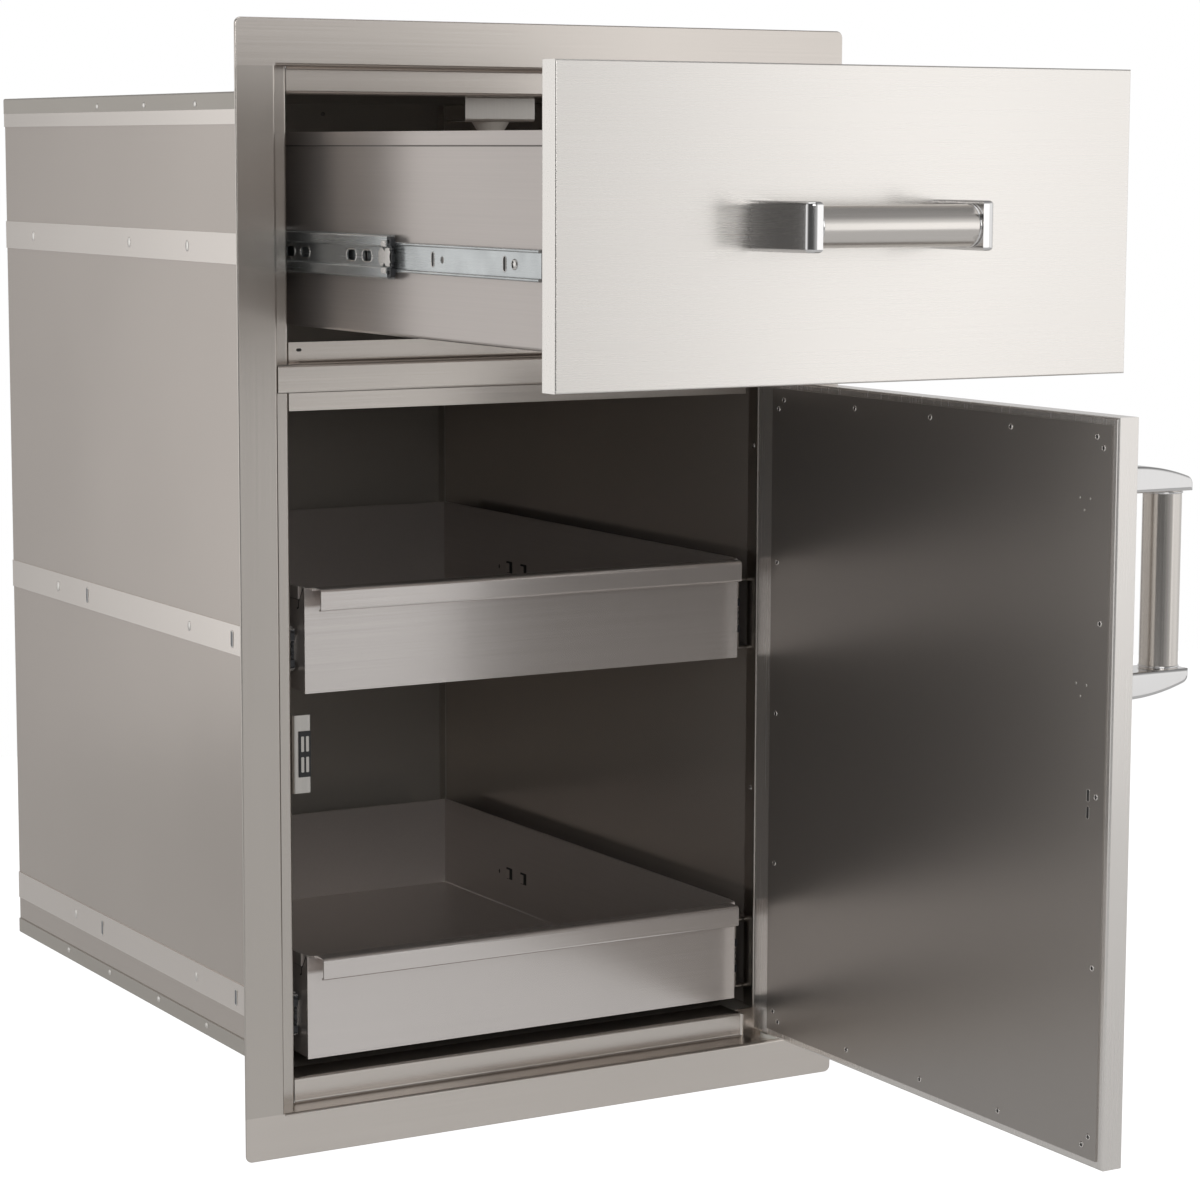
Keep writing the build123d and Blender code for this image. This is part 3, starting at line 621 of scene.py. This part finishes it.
# Where their near and far faces lie, outward from the back of the middle member
WEB = -2.4
LATCH_SPAN = (WEB, -0.5)
TAB_SPAN = (-0.2, 0.7)
CLIP_SPAN = (-3.8, -0.1)
HOOK_SPAN = (-3.0, -1.2)
# and outward from the face of the inner member that lies on the drawer
BUFFER_SPAN = (1.0, 3.0)

# Slots and holes along the members
WEB_SLOTS = 4
SLOT_MARGIN = 34.0
SLOT_PITCH = 24.0
HOLE_PITCH = 97.25
SCREW_SLOT_RISE = 1.35
KEYHOLE_SHIFT = 13.0
REAR_WINDOW_SET_IN = 50.0


def outward(side, start, span):
    """Near and far X of a cut on one side of the unit."""
    return side * (start + span[0]), side * (start + span[1])


def slide_level(group, hand):
    """Height of a slide's middle line."""
    low, high = box_mm(f"{group}_{hand}_slide_middle")
    return (low.z + high.z) / 2


def dress_middle_member(group, hand):
    """Rims around the slots of a middle member, and the cuts of its latch and its clips."""
    low, high = box_mm(f"{group}_{hand}_slide_middle")
    level = slide_level(group, hand)
    body = group + "_slide_middles"
    side = SIDE[hand]
    back = max(abs(low.x), abs(high.x))
    web = side * (back + WEB)
    starts = [low.y + SLOT_MARGIN + pair * HOLE_PITCH for pair in range(WEB_SLOTS)]
    slots = [(web, start + shift, level) for start in starts for shift in (0.0, SLOT_PITCH)]
    windows = [(web, start + SLOT_PITCH / 2, level) for start in starts]
    if group == "top":
        row(f"top_{hand}_web_rims", RIM_ROW, slots, OUTWARD[hand], rivet_steel, body, "middle_zinc",
            length=15.2, width=8.2, corner=4.0, bead=0.5)
    else:
        row(f"{group}_{hand}_web_frames", RIM_ROW, slots, OUTWARD[hand], rivet_steel,
            body, "middle_zinc", length=15.6, width=9.6, corner=0.8, bead=0.5)
        row(f"{group}_{hand}_web_windows", PLATE_ROW, windows, OUTWARD[hand], slot_dark,
            body, "middle_zinc", length=3.0, width=9.4, corner=0.4, height=0.06)
        row(f"{group}_{hand}_window_frames", RIM_ROW, windows, OUTWARD[hand], rivet_steel,
            body, "middle_zinc", length=4.0, width=10.2, corner=0.6, bead=0.4)
    latches = [
        (moved(LATCH, low.y, level), *outward(side, back, LATCH_SPAN)),
        (moved(LATCH_TAB, low.y, level), *outward(side, back, TAB_SPAN)),
        (moved(turned_down(LATCH_TAB), low.y, level), *outward(side, back, TAB_SPAN)),
    ]
    clips = [
        (moved(CLIP, low.y, level), *outward(side, back, CLIP_SPAN)),
        (moved(turned_down(CLIP), low.y, level), *outward(side, back, CLIP_SPAN)),
        (moved(HOOK, low.y, level), *outward(side, back, HOOK_SPAN)),
    ]
    return latches, clips


def dress_inner_member(group, hand):
    """Screws and keyholes of an inner member, and the cut of its buffer."""
    low, high = box_mm(f"{group}_{hand}_slide_inner")
    level = slide_level(group, hand)
    body = DRAWER_BODY[group]
    side = SIDE[hand]
    near = min(abs(low.x), abs(high.x))
    face = side * (near + SHEET)
    holes = [low.y + SLOT_MARGIN + place * HOLE_PITCH for place in range(WEB_SLOTS + 1)]
    screwed = holes[::2] if group == "top" else holes[2::2]
    keyed = holes[:3] if group == "top" else holes[:1]
    heads = [(face, y, level) for y in screwed]
    row(f"{group}_{hand}_slide_screws", DOME_ROW, heads, OUTWARD[hand], rivet_steel, body, "inner_zinc",
        length=7.4, width=7.4, height=1.5)
    screw_slots = [(face + side * SCREW_SLOT_RISE, y, level) for y in screwed]
    row(f"{group}_{hand}_screw_slots", PLATE_ROW, screw_slots, OUTWARD[hand], slot_dark, body, "inner_zinc",
        length=1.0, width=4.2, corner=0.3, height=0.25)
    keyholes = [(face, y + KEYHOLE_SHIFT, level) for y in keyed]
    row(f"{group}_{hand}_keyholes", PLATE_ROW, keyholes, OUTWARD[hand], slot_dark, body, "inner_zinc",
        length=3.0, width=9.0, corner=1.4, height=0.06)
    row(f"{group}_{hand}_keyhole_rims", RIM_ROW, keyholes, OUTWARD[hand], rivet_steel, body, "inner_zinc",
        length=3.8, width=9.6, corner=1.7, bead=0.35)
    return (moved(BUFFER, low.y, level), *outward(side, near, BUFFER_SPAN))


def dress_outer_member(group, hand):
    """Dark opening near the back end of an outer member."""
    low, high = box_mm(f"{group}_{hand}_slide_outer")
    channel_floor = SIDE[hand] * (max(abs(low.x), abs(high.x)) - SHEET)
    window = [(channel_floor, high.y - REAR_WINDOW_SET_IN, slide_level(group, hand))]
    row(f"{group}_{hand}_rear_window", PLATE_ROW, window, INWARD[hand], slot_dark, "cabinet", "slide_zinc",
        length=32.0, width=17.0, corner=1.2, height=0.06)


for group in GROUPS:
    latches = []
    clips = []
    buffers = []
    for hand in HANDS:
        latch_cuts, clip_cuts = dress_middle_member(group, hand)
        latches += latch_cuts
        clips += clip_cuts
        buffers.append(dress_inner_member(group, hand))
        dress_outer_member(group, hand)
    body = group + "_slide_middles"
    cut_piece(group + "_slide_latches", latches, rivet_steel, body, soften=0.25)
    cut_piece(group + "_slide_clips", clips, clip_black, body, soften=0.25)
    if group != "top":
        body = DRAWER_BODY[group]
        cut_piece(group + "_slide_buffers", buffers, buffer_grey, body, soften=0.3)

# Folded gusset that closes the sill's corner behind the swinging heel of the door
GUSSET_FOLD = [(21.8, 30.5), (36.7, 30.5), (36.7, 48.7), (35.3, 48.7), (35.3, 32.0), (21.8, 32.0)]
GUSSET_END = [(21.8, 31.0), (36.0, 31.0), (36.0, 48.7), (21.8, 48.7)]
GUSSET_REACH = 18.4
GUSSET_END_REACH = 17.0
GUSSET_TUCK = 1.6
gusset_left = jamb_face - GUSSET_REACH
gusset = [
    (GUSSET_FOLD, gusset_left, jamb_face + GUSSET_TUCK),
    (GUSSET_END, gusset_left, jamb_face - GUSSET_END_REACH),
]
cut_piece("sill_corner_gusset", gusset, rail_steel, "cabinet", soften=0.2)

# Painted shadow lines: thin dark plates where the hems of the trays and the drawer box lie on their sides,
# standing in for the shade under each fold
HEM_DROP = 9.5
HEM_SET_IN = 7.0
for node, body, slot in (
    ("mid_tray_pan", "mid_tray", "tray_steel"),
    ("low_tray_pan", "low_tray", "tray_steel"),
    ("drawer_box", "top_drawer", "drawer_box_steel"),
):
    low, high = box_mm(node)
    hem_back = high.y - SHEET
    hem_front = low.y + HEM_SET_IN
    for hand in HANDS:
        hem_shadow_line = [(SIDE[hand] * (high.x - SHEET), (hem_back + hem_front) / 2, high.z - HEM_DROP)]
        row(f"{node}_{hand}_hem_shadow_line", PLATE_ROW, hem_shadow_line, OUTWARD[hand], painted_shadow_and_rivet_dark, body, slot,
            length=hem_back - hem_front, width=1.0, corner=0.2, height=0.04)

# Seams where the trays' fronts wrap round onto their sides, open at the top corner
CORNER_SEAM = [
    (0.2, -1.0), (5.8, -8.9), (7.9, -10.9), (8.2, -15.9), (11.3, -16.9),
    (11.5, -15.9), (9.3, -15.0), (8.9, -10.3), (6.6, -8.3), (1.0, -0.3),
]
SEAM_SPAN = (-0.04, 0.06)
for group in ("mid", "low"):
    low, high = box_mm(group + "_tray_pan")
    outline = moved(CORNER_SEAM, low.y, high.z)
    seams = [(outline, *outward(SIDE[hand], high.x - SHEET, SEAM_SPAN)) for hand in HANDS]
    cut_piece(group + "_corner_seams", seams, slot_dark, DRAWER_BODY[group], soften=0.015)

# Slide screws seen from inside the trays, low on both walls: dark notches with tabs, and dots
NOTCH_PLACES = (86.0, 371.0, 396.0)
TAB_SHIFT = 2.4
TAB_DROP = 0.6
DOT_PLACES = (104.0, 414.0)
DOT_DROP = 1.0
for group in ("mid", "low"):
    body = DRAWER_BODY[group]
    wall = box_mm(group + "_tray_front")[1].x - SHEET
    slide_low, slide_high = box_mm(f"{group}_left_slide_inner")
    level = (slide_low.z + slide_high.z) / 2
    for hand in HANDS:
        face = SIDE[hand] * wall
        notches = [(face, y, level) for y in NOTCH_PLACES]
        row(f"{group}_{hand}_wall_notches", PLATE_ROW, notches, INWARD[hand], slot_dark, body, "tray_steel",
            length=10.5, width=10.0, corner=0.8, height=0.06)
        tabs = [(face, y + TAB_SHIFT, level - TAB_DROP) for y in NOTCH_PLACES]
        row(f"{group}_{hand}_wall_tabs", PLATE_ROW, tabs, INWARD[hand], box_steel, body, "tray_steel",
            length=5.2, width=7.6, corner=0.6, height=0.5)
        dots = [(face, y, level - DOT_DROP) for y in DOT_PLACES]
        row(f"{group}_{hand}_wall_dots", DOME_ROW, dots, INWARD[hand], slot_dark, body, "tray_steel",
            length=2.6, width=4.2, height=0.2)

# Collars where the handle bars enter their brackets
COLLAR_SET_IN = 1.2
low, high = box_mm("drawer_handle_tube")
axis = (low + high) / 2
bar = high.z - low.z
collars = [(x, axis.y, axis.z) for x in (low.x + COLLAR_SET_IN, high.x - COLLAR_SET_IN)]
row("drawer_bar_collars", RIM_ROW, collars, RIGHTWARD, chrome, "top_drawer", "handle_chrome",
    length=bar, width=bar, corner=bar / 2, bead=0.8)
low, high = box_mm("door_handle_tube")
axis = (low + high) / 2
bar = high.y - low.y
collars = [(axis.x, axis.y, z) for z in (low.z + COLLAR_SET_IN, high.z - COLLAR_SET_IN)]
row("door_bar_collars", RIM_ROW, collars, UPWARD, chrome, "door", "handle_chrome",
    length=bar, width=bar, corner=bar / 2, bead=0.8)

# Camera where the photograph was taken from
CAMERA_PLACE = (-1.2057, -2.1348, 0.7099)
CAMERA_LOOKING = (0.4997, 0.8562, -0.1309)
CAMERA_ROLL = math.radians(0.19)
camera_data = bpy.data.cameras.new("camera")
camera_data.lens = 101.8
camera_data.sensor_width = 36.0
camera = show("camera", camera_data)
camera.location = CAMERA_PLACE
looking = Vector(CAMERA_LOOKING).normalized()
roll = Matrix.Rotation(CAMERA_ROLL, 3, "Z").to_quaternion()
camera.rotation_euler = (looking.to_track_quat("-Z", "Y") @ roll).to_euler()
bpy.context.scene.camera = camera


# Node helpers for the floor and the surroundings
def ranged(tree, value, bounds, results):
    """Value carried from one span to another, held at the ends."""
    carry = tree.nodes.new("ShaderNodeMapRange")
    carry.inputs["From Min"].default_value = bounds[0]
    carry.inputs["From Max"].default_value = bounds[1]
    carry.inputs["To Min"].default_value = results[0]
    carry.inputs["To Max"].default_value = results[1]
    tree.links.new(value, carry.inputs["Value"])
    return carry.outputs["Result"]


def combined(tree, operation, first, second):
    """Two values made into one."""
    pair = tree.nodes.new("ShaderNodeMath")
    pair.operation = operation
    tree.links.new(first, pair.inputs[0])
    tree.links.new(second, pair.inputs[1])
    return pair.outputs["Value"]


# Floor that reads white to the eye and keeps the shadow
FLOOR_REACH = 4.0
FLOOR_LEVEL = -0.45
FLOOR_GREY = 0.72
FLOOR_GLOW = 0.68
floor_corners = [
    (x * FLOOR_REACH, y * FLOOR_REACH, FLOOR_LEVEL)
    for x, y in ((-1, -1), (1, -1), (1, 1), (-1, 1))
]
floor_mesh = bpy.data.meshes.new("floor")
floor_mesh.from_pydata(floor_corners, [], [(0, 1, 2, 3)])
floor = show("floor", floor_mesh)
pale = bpy.data.materials.new("pale_floor")
pale.use_nodes = True
pale_tree = pale.node_tree
pale_shader = pale_tree.nodes["Principled BSDF"]
pale_shader.inputs["Base Color"].default_value = (FLOOR_GREY, FLOOR_GREY, FLOOR_GREY, 1.0)
pale_shader.inputs["Roughness"].default_value = 0.8
pale_shader.inputs["Emission Color"].default_value = (1.0, 1.0, 1.0, 1.0)
pale_path = pale_tree.nodes.new("ShaderNodeLightPath")
to_the_eye = ranged(pale_tree, pale_path.outputs["Is Camera Ray"], (0.0, 1.0), (0.0, FLOOR_GLOW))
pale_tree.links.new(to_the_eye, pale_shader.inputs["Emission Strength"])
floor.data.materials.append(pale)


# Studio lamps
def softbox(name, place, aim, width, height, power):
    """Large soft lamp pointed at a spot."""
    data = bpy.data.lights.new(name, "AREA")
    data.shape = "RECTANGLE"
    data.size = width
    data.size_y = height
    data.energy = power
    lamp = show(name, data)
    lamp.location = place
    lamp.rotation_euler = (Vector(aim) - Vector(place)).to_track_quat("-Z", "Y").to_euler()


softbox("front_right_softbox", place=(1.75, -2.85, 0.55), aim=(0.0, -0.35, 0.5),
        width=0.40, height=1.7, power=1.0)
softbox("front_left_softbox", place=(-0.5, -3.2, 1.4), aim=(0.0, 0.2, 0.4),
        width=1.4, height=1.2, power=18.0)
softbox("overhead_softbox", place=(-0.3, -0.6, 3.0), aim=(0.0, 0.1, 0.4),
        width=2.5, height=2.5, power=20.0)

# Surroundings: white to the eye. What shiny faces mirror is shaped by its direction, like the
# walls of a studio: in front of the unit dim at the left and bright at the far right, behind it
# bright at the left and dim in the middle, and dimmer high up all round.
SURROUND_LIGHT = 0.55
world = bpy.data.worlds.new("studio")
bpy.context.scene.world = world
world.use_nodes = True
sky = world.node_tree
path = sky.nodes.new("ShaderNodeLightPath")
shiny = path.outputs["Is Glossy Ray"]
seen = combined(sky, "MAXIMUM", path.outputs["Is Camera Ray"], shiny)
seen = combined(sky, "MAXIMUM", seen, path.outputs["Is Transmission Ray"])
direction = sky.nodes.new("ShaderNodeTexCoord")
parts = sky.nodes.new("ShaderNodeSeparateXYZ")
sky.links.new(direction.outputs["Generated"], parts.inputs["Vector"])
to_right = parts.outputs["X"]

front_dim_left = ranged(sky, to_right, (-0.3, 0.42), (0.08, 0.5))
front_bright_right = ranged(sky, to_right, (0.465, 0.565), (0.0, 0.47))
front_wall = combined(sky, "ADD", front_dim_left, front_bright_right)
back_bright_left = ranged(sky, to_right, (-0.44, -0.34), (1.0, 0.3))
back_pale_right = ranged(sky, to_right, (-0.2, 0.3), (0.0, 0.4))
back_wall = combined(sky, "ADD", back_bright_left, back_pale_right)
walls = sky.nodes.new("ShaderNodeMix")
sky.links.new(ranged(sky, parts.outputs["Y"], (-0.3, 0.1), (0.0, 1.0)), walls.inputs["Factor"])
sky.links.new(front_wall, walls.inputs["A"])
sky.links.new(back_wall, walls.inputs["B"])
dim_above = ranged(sky, parts.outputs["Z"], (0.25, 0.65), (1.0, 0.35))
mirrored = sky.nodes.new("ShaderNodeMix")
sky.links.new(shiny, mirrored.inputs["Factor"])
mirrored.inputs["A"].default_value = 1.0
sky.links.new(combined(sky, "MULTIPLY", walls.outputs["Result"], dim_above), mirrored.inputs["B"])

brightness = ranged(sky, seen, (0.0, 1.0), (SURROUND_LIGHT, 1.0))
background = sky.nodes["Background"]
background.inputs["Color"].default_value = (1.0, 1.0, 1.0, 1.0)
strength = combined(sky, "MULTIPLY", brightness, mirrored.outputs["Result"])
sky.links.new(strength, background.inputs["Strength"])

bpy.context.scene.view_settings.view_transform = "Standard"
